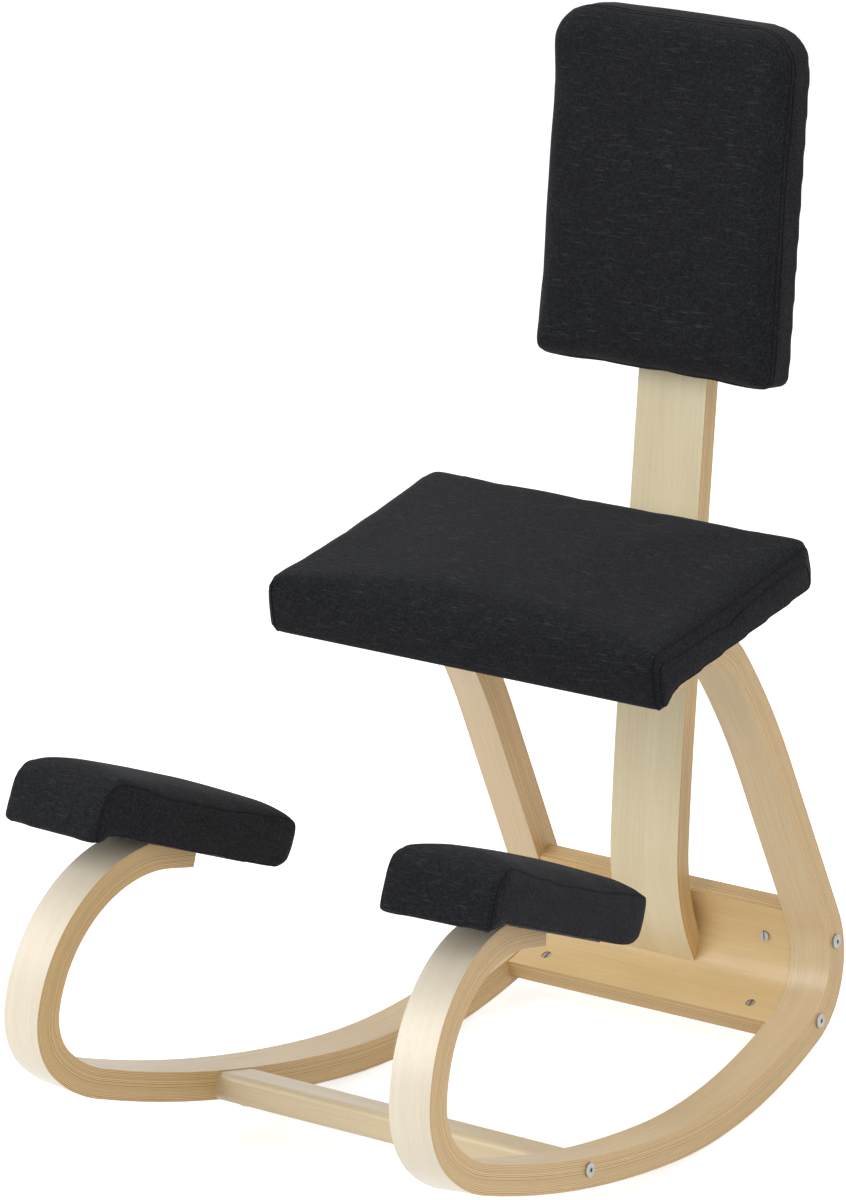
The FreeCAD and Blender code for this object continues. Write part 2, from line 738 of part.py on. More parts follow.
def inset(corners, distance):
    """The same outline moved in by a distance."""
    moved_in = []
    for number, (point, radius) in enumerate(corners):
        first, turn = turn_at(corners, number)
        reach = distance / math.cos(turn / 2)
        inwards = first + turn / 2 + math.pi / 2
        moved_in.append(((point[0] + reach * math.cos(inwards), point[1] + reach * math.sin(inwards)),
                         max(radius - math.copysign(distance, turn), size("cover_thickness"))))
    return moved_in


def rounded(corners):
    """Closed outline of straight edges and tangent arcs round the corners."""
    bends = []
    for number, (point, radius) in enumerate(corners):
        first, turn = turn_at(corners, number)
        entry = ahead(point, math.degrees(first), -radius * math.tan(abs(turn) / 2))
        bends.append((entry, math.degrees(first), radius, math.degrees(turn)))
    outline = []
    for number, (entry, heading, radius, turn) in enumerate(bends):
        last = run_end(entry, heading, (radius, turn))[0]
        outline.append(arc_edge(entry, heading, last, radius, turn))
        outline.append(Part.LineSegment(flat(last), flat(bends[(number + 1) % len(bends)][0])))
    return outline


def crowned(name, frame, side_corners, front_corners, plan_corners, kind):
    """Body with the given side view, front view and plan."""
    side_body = padded_body(name + "_side", "YZ_Plane", rounded(side_corners), "Sizes.%s_width" % kind, True)
    front_body = padded_body(name + "_front", "XZ_Plane", rounded(front_corners),
                             "2 * Sizes.%s" % LENGTHS[kind], True)
    plan_body = padded_body(name + "_plan", "XY_Plane", rounded(plan_corners),
                            "4 * Sizes.%s_crown_height" % kind, True)
    body = doc.addObject("Part::MultiCommon", name)
    body.Shapes = [side_body, front_body, plan_body]
    for view in body.Shapes:
        view.Placement = frame
    return body


def cushion(name, frame, outer, inner, board, opening_low, opening_high, bolts):
    """The four pieces of a cushion; the opening is the part of the underside left by the cover."""
    cover = size("cover_thickness")
    top = cover + size("board_thickness")
    nut_places = [moved(place, 0, 0, top) for place in bolts]
    nut_bore = drill(size("tee_nut_radius") + size("thread_clearance"), 2 * size("board_thickness"), 1.0)
    flange_bore = drill(size("tee_flange_radius") + size("soft_clearance"), size("tee_flange_thickness"), 1.0)
    bores = copies(name + "_nut_bores", nut_bore.fuse(flange_bore), nut_places)
    node(cut(name + "_board", board, bores), name + "_board")
    node(cut(name + "_foam", inner, board), name + "_foam")
    opening = block(name + "_cover_opening", frame, opening_low - UP, opening_high + UP * cover)
    node(cut(name + "_cover", outer, inner, opening), name + "_cover")
    gap = Vector(size("soft_clearance"), size("soft_clearance"), 0)
    sheet_blank = block(name + "_dust_blank", frame, opening_low + gap, opening_high - gap + UP * cover)
    reach = size("board_thickness")
    through = copies(name + "_dust_holes", drill(BOLT_HOLE, reach, reach), bolts)
    node(cut(name + "_dust_cover", sheet_blank, through), name + "_dust_cover")
    return nut_places


LENGTHS = {"seat": "seat_depth", "knee": "knee_length"}


def crowned_cushion(name, frame, kind, tail, bolts):
    """Cushion with upright sides and a crowned top, over a flat board."""
    cover = size("cover_thickness")
    length = size(LENGTHS[kind])
    start = -size(kind + "_ahead")
    heights = [size("%s_%s_height" % (kind, part)) for part in ("front", "middle", "rear")]
    side_corners = side_profile(length, start, heights, (size(kind + "_nose_radius"), size(kind + "_rear_radius")))
    front_corners = front_profile(size(kind + "_width"), (size(kind + "_side_height"), size(kind + "_crown_height")),
                                  (size(kind + "_side_radius"), size(kind + "_crown_radius")))
    plan_corners = plan(length, start, size(kind + "_width"),
                        (size(kind + "_front_corner"), size(kind + "_rear_corner")))
    views = (side_corners, front_corners, plan_corners)
    outer = crowned(name + "_outer", frame, *views, kind)
    inner = crowned(name + "_inner", frame, *[inset(corners, cover) for corners in views], kind)
    half = size(kind + "_width") / 2 - cover - size("board_side_gap")
    low = Vector(-half, start + size(kind + "_board_setback"), 0)
    high = Vector(half, start + length - tail, 0)
    board = block(name + "_board_blank", frame, low + UP * cover, high + UP * (cover + size("board_thickness")))
    turn = Vector(size("cover_turn_under"), size("cover_turn_under"), 0)
    return cushion(name, frame, outer, inner, board, low + turn, high - turn, bolts)


seat_nuts = crowned_cushion("seat", SEAT, "seat", size("seat_board_tail"), SEAT_BOLTS)

# Backrest: rounded outline, with a softened front edge

back_half = size("back_width") / 2
back_corners = [((-back_half, 0), size("back_low_radius")), ((back_half, 0), size("back_low_radius")),
                ((back_half, size("back_height")), size("back_top_radius")),
                ((-back_half, size("back_height")), size("back_top_radius"))]
back_outer = padded_body("back_outer", "XY_Plane", rounded(back_corners), "Sizes.back_thickness")
round_edges(back_outer, "Sizes.back_edge_radius",
            lambda edge: edge.BoundBox.ZMin > size("back_thickness") - 0.01)
back_outer.Placement = BACK
back_inner = padded_body("back_inner", "XY_Plane", rounded(inset(back_corners, size("cover_thickness"))),
                         "Sizes.back_thickness - 2 * Sizes.cover_thickness")
round_edges(back_inner, "Sizes.back_edge_radius - Sizes.cover_thickness",
            lambda edge: edge.BoundBox.ZMin > size("back_thickness") - 2 * size("cover_thickness") - 0.01)
back_inner.Placement = moved(BACK, 0, 0, size("cover_thickness"))
setback = size("back_board_setback")
back_board = padded_body("backrest_board_blank", "XY_Plane", rounded(inset(back_corners, setback)),
                         "Sizes.board_thickness")
back_board.Placement = moved(BACK, 0, 0, size("cover_thickness"))
rim = setback + size("cover_turn_under")
back_nuts = cushion("backrest", BACK, back_outer, back_inner, back_board, Vector(rim - back_half, rim, 0),
                    Vector(back_half - rim, size("back_height") - rim, 0), BACK_BOLTS)

# Knee pads, one on the end of each runner

knee_nuts = []
KNEE_BOLTS = []
for name, side in (("left_knee_pad", -1), ("right_knee_pad", 1)):
    KNEE_BOLTS += knee_bolt_places(side)
    pad_frame = moved(knee_frame(side), side * size("knee_outward"), 0, 0)
    knee_nuts += crowned_cushion(name, pad_frame, "knee", size("knee_rear_radius"), knee_bolt_places(side))

# Tee nuts, bolts and washers of the boards

for name, bolts, seat_depth, nuts in (("seat", SEAT_BOLTS, size("seat_bolt_seat"), seat_nuts),
                                      ("backrest", BACK_BOLTS, size("post_thickness"), back_nuts),
                                      ("knee_pad", KNEE_BOLTS, size("knee_bolt_seat"), knee_nuts)):
    washer_depth = seat_depth + size("washer_thickness")
    node(copies(name + "_tee_nuts", tee_nut_shape(), nuts), name + "_tee_nuts")
    node(copies(name + "_washers", washer_shape(), underneath(bolts, seat_depth)), name + "_washers")
    node(copies(name + "_bolts", bolt_shape(washer_depth + size("bolt_tip_in_board")),
                underneath(bolts, washer_depth)), name + "_bolts")

# The chair is tipped to its rest pose, with the origin under the middle of its box

doc.recompute()
tipped = Rotation(ACROSS, size("rest_pitch"))
for piece in nodes:
    piece.Placement = Placement(Vector(), tipped).multiply(piece.Placement)
doc.recompute()
box = FreeCAD.BoundBox()
for piece in nodes:
    box.add(piece.Shape.optimalBoundingBox(False, False))
shift = Placement(Vector(-box.Center.x, -box.Center.y, -box.ZMin), Rotation())
for piece in nodes:
    piece.Placement = shift.multiply(piece.Placement)
doc.recompute()

for piece in doc.Objects:
    if "Invalid" in piece.State or "Error" in piece.State:
        raise RuntimeError("%s did not compute: %s" % (piece.Name, piece.State))
for piece in nodes:
    if piece.Shape.isNull() or not piece.Shape.isValid() or not piece.Shape.Solids:
        raise RuntimeError("%s has no sound solid" % piece.Label)

os.makedirs("parts", exist_ok=True)
for piece in nodes:
    piece.Shape.exportStep("parts/%s.step" % piece.Label)
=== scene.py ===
import math

import bpy
from mathutils import Matrix, Vector, kdtree


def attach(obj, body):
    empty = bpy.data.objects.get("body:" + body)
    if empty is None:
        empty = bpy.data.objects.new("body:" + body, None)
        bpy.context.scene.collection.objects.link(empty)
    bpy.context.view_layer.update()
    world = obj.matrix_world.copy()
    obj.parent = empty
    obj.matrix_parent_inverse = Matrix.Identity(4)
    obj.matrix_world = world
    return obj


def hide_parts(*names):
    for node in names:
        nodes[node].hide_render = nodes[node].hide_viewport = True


# Kneeling chair that rocks on two bent birch runners, with a seat, a backrest and two
# knee pads in charcoal cloth. It stands tipped back a little, as it comes to rest.
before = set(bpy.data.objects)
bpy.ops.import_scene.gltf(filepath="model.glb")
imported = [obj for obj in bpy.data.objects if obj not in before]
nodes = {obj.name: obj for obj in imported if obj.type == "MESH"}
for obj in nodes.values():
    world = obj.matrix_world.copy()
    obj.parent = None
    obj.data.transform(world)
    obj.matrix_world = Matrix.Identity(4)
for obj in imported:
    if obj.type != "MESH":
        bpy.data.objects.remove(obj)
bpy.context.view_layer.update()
REST_SHIFT = (0, -0.10291, 0.00364)
REST_PITCH = -4.15
TOE_OUT = 4.5
RUNNER_CANT = 3.1


def turned(degrees, axis):
    return Matrix.Rotation(math.radians(degrees), 4, axis)


chair_frame = Matrix.Translation(REST_SHIFT) @ turned(REST_PITCH, "X")

# Camera and studio: a long lens from the front right, a pale floor and large soft lamps
# on both sides and overhead.
camera_data = bpy.data.cameras.new("camera")
camera_data.lens = 212.78
camera_data.clip_end = 60
camera = bpy.data.objects.new("camera", camera_data)
bpy.context.collection.objects.link(camera)
camera.matrix_world = (chair_frame @ Matrix.Translation((3.7804, -5.1162, 2.3639))
                       @ turned(36.457, "Z") @ turned(90 - 15.888, "X"))
bpy.context.scene.camera = camera
bpy.context.scene.view_settings.view_transform = "Standard"


MIDDLE_HEIGHT = 0.45


def soft_lamp(name, place, width, energy):
    """Square lamp aimed at the middle of the chair."""
    data = bpy.data.lights.new(name, "AREA")
    data.size = width
    data.energy = energy
    lamp = bpy.data.objects.new(name, data)
    bpy.context.collection.objects.link(lamp)
    lamp.location = place
    aim = Vector((0, 0, MIDDLE_HEIGHT)) - Vector(place)
    lamp.rotation_euler = aim.to_track_quat("-Z", "Y").to_euler()


soft_lamp("key_lamp", (-1.6, -3.0, 2.6), 2.4, 78)
soft_lamp("side_lamp", (3.2, -0.6, 1.8), 2.0, 28)
soft_lamp("top_lamp", (0.0, 0.8, 3.4), 2.6, 30)


def mirrored_or_seen(tree):
    """One for rays from the camera, gloss and glass, and nothing for all the others."""
    path = tree.nodes.new("ShaderNodeLightPath")
    answer = path.outputs["Is Camera Ray"]
    for label in ("Is Glossy Ray", "Is Transmission Ray"):
        either = tree.nodes.new("ShaderNodeMath")
        either.operation = "MAXIMUM"
        tree.links.new(answer, either.inputs[0])
        tree.links.new(path.outputs[label], either.inputs[1])
        answer = either.outputs[0]
    return answer


world = bpy.data.worlds.new("studio")
bpy.context.scene.world = world
world.use_nodes = True
room = world.node_tree
room_light = room.nodes["Background"]
room_light.inputs["Color"].default_value = (1, 1, 1, 1)
room_light.inputs["Strength"].default_value = 0.40
room_white = room.nodes.new("ShaderNodeBackground")
room_white.inputs["Color"].default_value = (1, 1, 1, 1)
room_mix = room.nodes.new("ShaderNodeMixShader")
room.links.new(mirrored_or_seen(room), room_mix.inputs[0])
room.links.new(room_light.outputs[0], room_mix.inputs[1])
room.links.new(room_white.outputs[0], room_mix.inputs[2])
room.links.new(room_mix.outputs[0], room.nodes["World Output"].inputs["Surface"])

bpy.ops.object.select_all(action="DESELECT")
bpy.ops.mesh.primitive_plane_add(size=40)
floor = bpy.context.object
floor.name = "floor"
floor_paint = bpy.data.materials.new("pale floor")
floor_paint.use_nodes = True
floor.data.materials.append(floor_paint)
tree = floor_paint.node_tree
matt = tree.nodes["Principled BSDF"]
matt.inputs["Base Color"].default_value = (0.9, 0.9, 0.9, 1)
matt.inputs["Roughness"].default_value = 0.9
matt.inputs["Specular IOR Level"].default_value = 0.1
glow = tree.nodes.new("ShaderNodeEmission")
glow_share = tree.nodes.new("ShaderNodeMath")
glow_share.operation = "MULTIPLY"
glow_share.inputs[1].default_value = 0.62
tree.links.new(mirrored_or_seen(tree), glow_share.inputs[0])
tree.links.new(glow_share.outputs[0], glow.inputs["Strength"])
both = tree.nodes.new("ShaderNodeAddShader")
tree.links.new(matt.outputs[0], both.inputs[0])
tree.links.new(glow.outputs[0], both.inputs[1])
tree.links.new(both.outputs[0], tree.nodes["Material Output"].inputs["Surface"])

# Bent birch: veneers glued into a strip over a mould. The faces show long pale grain, the
# cut edges show the veneers as fine lines. Each piece is mapped along and across its strip.


def group_output(name, sockets_in, sockets_out):
    group = bpy.data.node_groups.new(name, "ShaderNodeTree")
    for label, kind, value in sockets_in:
        socket = group.interface.new_socket(label, in_out="INPUT", socket_type=kind)
        if value is not None:
            socket.default_value = value
    for label, kind in sockets_out:
        group.interface.new_socket(label, in_out="OUTPUT", socket_type=kind)
    return group, group.nodes.new("NodeGroupInput"), group.nodes.new("NodeGroupOutput")


def stretched_noise(group, source, scale, size, detail=3.0, rough=0.55):
    """Noise on a position that is scaled by three factors first."""
    mapping = group.nodes.new("ShaderNodeMapping")
    mapping.inputs["Scale"].default_value = scale
    group.links.new(source, mapping.inputs["Vector"])
    noise = group.nodes.new("ShaderNodeTexNoise")
    noise.inputs["Scale"].default_value = size
    noise.inputs["Detail"].default_value = detail
    noise.inputs["Roughness"].default_value = rough
    group.links.new(mapping.outputs[0], noise.inputs["Vector"])
    return noise.outputs["Fac"]


def ramp(group, source, stops):
    node = group.nodes.new("ShaderNodeValToRGB")
    elements = node.color_ramp.elements
    while len(elements) < len(stops):
        elements.new(0.5)
    for element, (place, colour) in zip(elements, stops):
        element.position = place
        element.color = (*colour, 1)
    group.links.new(source, node.inputs["Fac"])
    return node.outputs["Color"]


def mixed(group, kind, factor, first, second):
    node = group.nodes.new("ShaderNodeMix")
    node.data_type = "RGBA"
    node.blend_type = kind
    for label, value in (("Factor", factor), ("A", first), ("B", second)):
        socket = node.inputs[label]
        if isinstance(value, bpy.types.NodeSocket):
            group.links.new(value, socket)
        elif isinstance(value, tuple):
            socket.default_value = (*value, 1)
        else:
            socket.default_value = value
    return node.outputs["Result"]


def calculated(group, kind, *values):
    node = group.nodes.new("ShaderNodeMath")
    node.operation = kind
    for socket, value in zip(node.inputs, values):
        if isinstance(value, bpy.types.NodeSocket):
            group.links.new(value, socket)
        else:
            socket.default_value = value
    return node.outputs[0]


# Long grain of a rotary-cut veneer: broad soft bands, fine streaks and short dark pores.
grain, grain_in, grain_out = group_output(
    "birch grain",
    [("Place", "NodeSocketVector", None),
     ("Pale", "NodeSocketColor", (0.8, 0.7, 0.52, 1)),
     ("Deep", "NodeSocketColor", (0.6, 0.46, 0.28, 1))],
    [("Color", "NodeSocketColor"), ("Roughness", "NodeSocketFloat"), ("Height", "NodeSocketFloat")])
place = grain_in.outputs["Place"]
bands = stretched_noise(grain, place, (2.2, 26, 26), 1.0, 2.0)
streaks = stretched_noise(grain, place, (9, 420, 420), 1.0, 3.0)
pores = stretched_noise(grain, place, (70, 1500, 1500), 1.0, 1.0)
band_mask = ramp(grain, bands, [(0.34, (0, 0, 0)), (0.72, (1, 1, 1))])
streak_mask = ramp(grain, streaks, [(0.42, (0, 0, 0)), (0.75, (1, 1, 1))])
pore_mask = ramp(grain, pores, [(0.66, (0, 0, 0)), (0.76, (1, 1, 1))])
share = calculated(grain, "ADD", calculated(grain, "MULTIPLY", band_mask, 0.38),
                   calculated(grain, "MULTIPLY", streak_mask, 0.30))
veneer = mixed(grain, "MIX", share, grain_in.outputs["Pale"], grain_in.outputs["Deep"])
pore_share = calculated(grain, "MULTIPLY", pore_mask, 0.35)
veneer = mixed(grain, "MULTIPLY", pore_share, veneer, (0.55, 0.42, 0.3))
grain.links.new(veneer, grain_out.inputs["Color"])
grain.links.new(calculated(grain, "MULTIPLY_ADD", streak_mask, 0.1, 0.36), grain_out.inputs["Roughness"])
grain.links.new(calculated(grain, "MULTIPLY", pore_mask, -1.0), grain_out.inputs["Height"])

# Cut edge of the strip: veneers 1.5 mm thick with brown glue lines, the middle ones stronger.
plies, plies_in, plies_out = group_output(
    "glued veneers",
    [("Place", "NodeSocketVector", None),
     ("Veneer", "NodeSocketColor", (0.62, 0.43, 0.22, 1)),
     ("Glue", "NodeSocketColor", (0.2, 0.1, 0.04, 1)),
     ("Thickness", "NodeSocketFloat", 0.0015)],
    [("Color", "NodeSocketColor"), ("Roughness", "NodeSocketFloat"), ("Height", "NodeSocketFloat")])
parts = plies.nodes.new("ShaderNodeSeparateXYZ")
plies.links.new(plies_in.outputs["Place"], parts.inputs[0])
wander = stretched_noise(plies, plies_in.outputs["Place"], (6, 0, 0), 1.0, 2.0)
depth = calculated(plies, "ADD", parts.outputs["Y"], calculated(plies, "MULTIPLY", wander, 0.0006))
count = calculated(plies, "DIVIDE", depth, plies_in.outputs["Thickness"])
within = calculated(plies, "FRACT", count)
line = calculated(plies, "LESS_THAN", within, 0.26)
number = calculated(plies, "FLOOR", count)
lot = plies.nodes.new("ShaderNodeTexWhiteNoise")
lot.noise_dimensions = "1D"
plies.links.new(number, lot.inputs["W"])
tone = calculated(plies, "MULTIPLY_ADD", lot.outputs["Value"], 0.3, 0.82)
strength = calculated(plies, "POWER", lot.outputs["Value"], 1.1)
patchy = stretched_noise(plies, plies_in.outputs["Place"], (9, 300, 0), 1.0, 2.0)
middle = calculated(plies, "LESS_THAN", calculated(plies, "ABSOLUTE", depth), 0.0011)
strength = calculated(plies, "MAXIMUM", strength, calculated(plies, "MULTIPLY", middle, 0.9))
worn = calculated(plies, "MULTIPLY_ADD", patchy, 0.8, 0.2)
cut = calculated(plies, "MULTIPLY", line, calculated(plies, "MULTIPLY", strength, worn))
fibre = stretched_noise(plies, plies_in.outputs["Place"], (40, 900, 900), 1.0, 2.0)
tint = plies.nodes.new("ShaderNodeCombineColor")
shade = calculated(plies, "MULTIPLY", tone, calculated(plies, "MULTIPLY_ADD", fibre, 0.3, 0.87))
for label in ("Red", "Green", "Blue"):
    plies.links.new(shade, tint.inputs[label])
edge_colour = mixed(plies, "MULTIPLY", 1.0, plies_in.outputs["Veneer"], tint.outputs[0])
glue_share = calculated(plies, "MULTIPLY", cut, 2.0)
edge_colour = mixed(plies, "MIX", glue_share, edge_colour, plies_in.outputs["Glue"])
plies.links.new(edge_colour, plies_out.inputs["Color"])
plies.links.new(calculated(plies, "MULTIPLY_ADD", fibre, 0.15, 0.4), plies_out.inputs["Roughness"])
plies.links.new(calculated(plies, "MULTIPLY", cut, -1.0), plies_out.inputs["Height"])


def lacquered(name, group, values, map_name, relief):
    """Wood under satin lacquer, with its pattern from a UV map of the piece."""
    material = bpy.data.materials.new(name)
    material.use_nodes = True
    inner = material.node_tree
    surface = inner.nodes["Principled BSDF"]
    surface.inputs["Coat Weight"].default_value = 0.25
    surface.inputs["Coat Roughness"].default_value = 0.28
    uv = inner.nodes.new("ShaderNodeUVMap")
    uv.uv_map = map_name
    pattern = inner.nodes.new("ShaderNodeGroup")
    pattern.node_tree = group
    for label, value in values.items():
        pattern.inputs[label].default_value = value
    inner.links.new(uv.outputs[0], pattern.inputs["Place"])
    inner.links.new(pattern.outputs["Color"], surface.inputs["Base Color"])
    inner.links.new(pattern.outputs["Roughness"], surface.inputs["Roughness"])
    bump = inner.nodes.new("ShaderNodeBump")
    bump.inputs["Strength"].default_value = 0.4
    bump.inputs["Distance"].default_value = relief
    inner.links.new(pattern.outputs["Height"], bump.inputs["Height"])
    inner.links.new(bump.outputs[0], surface.inputs["Normal"])
    return material


def grained(name, pale, deep, map_name):
    return lacquered(name, grain, {"Pale": (*pale, 1), "Deep": (*deep, 1)}, map_name, 0.0001)


birch_face = grained("birch face", (0.76, 0.59, 0.36), (0.54, 0.37, 0.18), "width")
# Paler copy of the birch face for the outer faces of the runners: a painted highlight.
highlight_outer_face = grained("birch outer face painted highlight", (0.87, 0.79, 0.63), (0.70, 0.58, 0.41), "width")
birch_edge = lacquered("birch edge", plies, {"Veneer": (0.72, 0.49, 0.22, 1),
                                             "Glue": (0.15, 0.058, 0.016, 1)}, "depth", 0.0002)


def centre_line(point, heading, runs):
    """Closely spaced points, headings and distances along straight runs and arcs."""
    line_points = []
    back, up = point
    travelled = 0.0
    for length, turn in runs:
        span = abs(math.radians(turn)) * length if turn else length
        steps = max(2, int(span / 3))
        for _ in range(steps):
            line_points.append((back, up, heading, travelled))
            half_turn = turn / steps / 2
            reach = 2 * length * abs(math.sin(math.radians(half_turn))) if turn else span / steps
            way = math.radians(heading + half_turn)
            back += reach * math.cos(way)
            up += reach * math.sin(way)
            heading += 2 * half_turn
            travelled += span / steps
    line_points.append((back, up, heading, travelled))
    return line_points


def plain_copy(source, name):
    """Copy of an object with a mesh of its own and without the marks of the frame."""
    copy = source.copy()
    copy.data = source.data.copy()
    copy.name = name
    for key in list(copy.keys()):
        del copy[key]
    bpy.context.collection.objects.link(copy)
    return copy


def dressed(piece, *materials):
    piece.data.materials.clear()
    for material in materials:
        piece.data.materials.append(material)


def bent_birch(name, own_frame, line_points, face, edge):
    """Copy of a solid, mapped along its strip: 'width' on the faces, 'depth' on the cut edges."""
    piece = plain_copy(nodes[name], name + "_birch")
    tree_of_points = kdtree.KDTree(len(line_points))
    for number, (back, up, heading, travelled) in enumerate(line_points):
        tree_of_points.insert((0, back / 1000, up / 1000), number)
    tree_of_points.balance()
    to_own = own_frame.inverted()
    mapped = []
    for vertex in piece.data.vertices:
        across, back, up = to_own @ vertex.co
        number = tree_of_points.find((0, back, up))[1]
        near_back, near_up, heading, travelled = line_points[number]
        way = math.radians(heading)
        off_back = back - near_back / 1000
        off_up = up - near_up / 1000
        run = travelled / 1000 + off_back * math.cos(way) + off_up * math.sin(way)
        mapped.append((run, across, off_up * math.cos(way) - off_back * math.sin(way)))
    while piece.data.uv_layers:
        piece.data.uv_layers.remove(piece.data.uv_layers[0])
    width_map = piece.data.uv_layers.new(name="width")
    depth_map = piece.data.uv_layers.new(name="depth")
    for loop in piece.data.loops:
        run, across, depth_in = mapped[loop.vertex_index]
        width_map.data[loop.index].uv = (run, across)
        depth_map.data[loop.index].uv = (run, depth_in)
    dressed(piece, face, edge)
    own_turn = own_frame.to_3x3().inverted()
    for polygon in piece.data.polygons:
        polygon.material_index = 1 if abs((own_turn @ polygon.normal).x) > 0.7 else 0
    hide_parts(name)
    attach(piece, "root")
    return piece


# Runners: one long strip each, from under the knee pad down round the front, along the
# floor, up round the back and over to the front edge of the seat. The outer faces carry a
# paler copy of the birch as a painted highlight.
runner_runs = [(32.1, 0), (138.3, 93.4), (69.5, 54.6), (147.8, 24.6), (1403.6, 14.3), (630.8, 25.1),
               (72.1, 95.8), (195.2, 0), (688.0, 12.2), (73.6, 63.7), (82.0, 0)]
runner_line = centre_line((-128.8, 291.8), 168.1, runner_runs)
for side, name, corner in ((-1, "left_runner", (-0.22896, 0.01802, 0.01244)),
                           (1, "right_runner", (0.18615, 0.01465, 0.01011))):
    own = (chair_frame @ Matrix.Translation(corner) @ turned(TOE_OUT * side, "Z")
           @ turned(-RUNNER_CANT * side, "Y"))
    runner = bent_birch(name, own, runner_line, birch_face, birch_edge)
    # Third material: the paler copy of the birch, a painted highlight, on the outer faces.
    runner.data.materials.append(highlight_outer_face)
    depths = runner.data.uv_layers["depth"].data
    for polygon in runner.data.polygons:
        outside = all(depths[index].uv[1] < 0 for index in polygon.loop_indices)
        if polygon.material_index == 0 and outside:
            polygon.material_index = 2

# Rear panel: plywood bent to the same curve as the back of the runners, its veneers lying
# across the chair and its upper and lower edges cut square.
panel_line = centre_line((358.02, 60.47), 20.1, [(17.0, 0), (68.25, 95.8), (17.0, 0)])
panel_face = grained("panel face", (0.82, 0.61, 0.31), (0.60, 0.38, 0.16), "across")
panel = bent_birch("rear_panel", chair_frame, panel_line, panel_face, birch_edge)
across_map = panel.data.uv_layers.new(name="across")
for loop in panel.data.loops:
    run, across = panel.data.uv_layers["width"].data[loop.index].uv
    across_map.data[loop.index].uv = (across, run)
depths = panel.data.uv_layers["depth"].data
for polygon in panel.data.polygons:
    spread = [depths[index].uv[1] for index in polygon.loop_indices]
    polygon.material_index = 1 if max(spread) - min(spread) > 0.002 else 0
for loop in panel.data.loops:
    run, depth_in = panel.data.uv_layers["depth"].data[loop.index].uv
    across = panel.data.uv_layers["width"].data[loop.index].uv[1]
    panel.data.uv_layers["depth"].data[loop.index].uv = (across, depth_in)

# Post of the backrest: a narrower strip, upright behind the seat, its foot screwed into the
# hollow of the rear panel.
post_line = centre_line((422.24, 78.45), 122.0, [(25.0, 0), (213.0, -34.8), (2800.0, -2.8), (530.5, 0)])
post_face = grained("post face", (0.88, 0.78, 0.53), (0.70, 0.56, 0.33), "width")
bent_birch("backrest_post", chair_frame, post_line, post_face, birch_edge)

# Crossbar: a solid birch bar with rounded arrises between the fronts of the runners.
bar_frame = chair_frame @ Matrix.Translation((0, -0.04873, 0.04876)) @ turned(11.34, "X")
bar_line = centre_line((-30.0, 0.0), 0.0, [(60.0, 0)])
bar_face = grained("bar face", (0.73, 0.60, 0.39), (0.57, 0.42, 0.23), "across")
bar = bent_birch("front_crossbar", bar_frame, bar_line, bar_face, bar_face)
across_map = bar.data.uv_layers.new(name="across")
for loop in bar.data.loops:
    run, across = bar.data.uv_layers["width"].data[loop.index].uv
    depth_in = bar.data.uv_layers["depth"].data[loop.index].uv[1]
    across_map.data[loop.index].uv = (across, run + depth_in)

# Fasteners: zinc-plated furniture bolts with hexagon sockets, slotted barrel nuts, washers,
# tee nuts and the two screws of the post.
zinc = bpy.data.materials.new("zinc plate")
zinc.use_nodes = True
zinc_tree = zinc.node_tree
zinc_surface = zinc_tree.nodes["Principled BSDF"]
zinc_surface.inputs["Metallic"].default_value = 1.0
zinc_place = zinc_tree.nodes.new("ShaderNodeTexCoord")
zinc_cloud = stretched_noise(zinc_tree, zinc_place.outputs["Object"], (1, 1, 1), 240)
zinc_tree.links.new(ramp(zinc_tree, zinc_cloud, [(0.3, (0.34, 0.34, 0.33)), (0.7, (0.50, 0.50, 0.48))]),
                    zinc_surface.inputs["Base Color"])
zinc_tree.links.new(calculated(zinc_tree, "MULTIPLY_ADD", zinc_cloud, 0.25, 0.30),
                    zinc_surface.inputs["Roughness"])
for name, node in nodes.items():
    if name.split("_")[-1] in ("bolts", "nuts", "washers", "screws"):
        dressed(node, zinc)

# Charcoal cloth: a plain weave with thicker, lighter threads that run across the chair.
weave, weave_in, weave_out = group_output(
    "slub weave",
    [("Place", "NodeSocketVector", None),
     ("Yarn", "NodeSocketColor", (0.03, 0.032, 0.038, 1)),
     ("Slub", "NodeSocketColor", (0.085, 0.09, 0.1, 1))],
    [("Color", "NodeSocketColor"), ("Roughness", "NodeSocketFloat"), ("Height", "NodeSocketFloat")])
place = weave_in.outputs["Place"]
threads = stretched_noise(weave, place, (0.45, 1.5, 1.5), 520, 2.0)
cross_threads = stretched_noise(weave, place, (1.6, 0.6, 0.6), 560, 2.0)
slubs = stretched_noise(weave, place, (55, 560, 560), 1.0, 1.0)
fleck = stretched_noise(weave, place, (1, 1, 1), 760, 1.0)
cloudy = stretched_noise(weave, place, (1, 1, 1), 30, 3.0)
relief = calculated(weave, "MULTIPLY", threads, cross_threads)
lit = ramp(weave, relief, [(0.15, (0.25, 0.25, 0.25)), (0.38, (1.9, 1.9, 1.9))])
cloth_colour = mixed(weave, "MULTIPLY", 1.0, weave_in.outputs["Yarn"], lit)
slub_mask = ramp(weave, slubs, [(0.62, (0, 0, 0)), (0.72, (1, 1, 1))])
fleck_mask = ramp(weave, fleck, [(0.63, (0, 0, 0)), (0.75, (1, 1, 1))])
mask = calculated(weave, "MAXIMUM", calculated(weave, "MULTIPLY", slub_mask, 0.42),
                  calculated(weave, "MULTIPLY", fleck_mask, 0.4))
cloth_colour = mixed(weave, "MIX", mask, cloth_colour, weave_in.outputs["Slub"])
clouds = ramp(weave, cloudy, [(0.3, (0.6, 0.6, 0.6)), (0.7, (1.3, 1.3, 1.3))])
cloth_colour = mixed(weave, "MULTIPLY", 0.35, cloth_colour, clouds)
weave.links.new(cloth_colour, weave_out.inputs["Color"])
